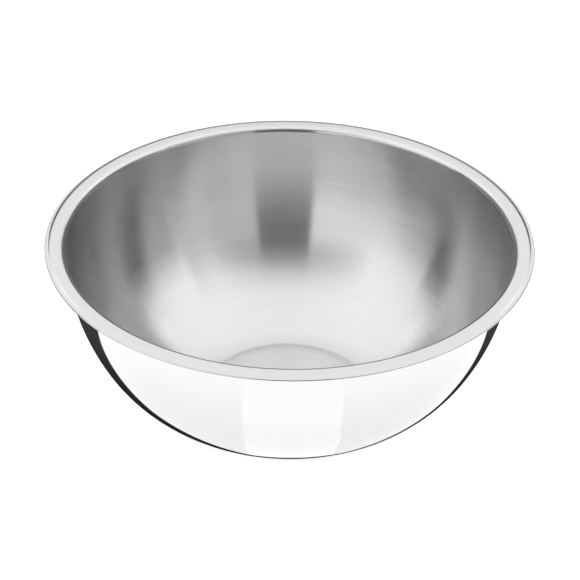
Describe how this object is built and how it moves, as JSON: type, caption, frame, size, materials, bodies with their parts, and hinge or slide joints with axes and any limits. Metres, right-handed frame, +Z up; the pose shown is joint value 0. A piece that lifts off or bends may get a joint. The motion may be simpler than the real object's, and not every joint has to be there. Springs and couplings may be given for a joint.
{
  "type": "mixing bowl",
  "caption": "Round, deep mixing bowl pressed from sheet steel, brushed inside and mirror-polished outside, with a flat flange and a hemmed edge.",
  "frame": {"origin": "middle of the base's flat underside", "axes": "+Z up the bowl's axis, out of its mouth; the bowl is the same all round, so +X and +Y are any two sides"},
  "size_m": [0.3, 0.3, 0.118],
  "materials": {
    "stainless_steel": "brushed in circles inside and on the flange, mirror-polished outside"
  },
  "bodies": {
    "root": {"bowl_shell": "stainless_steel"}
  },
  "joints": []
}
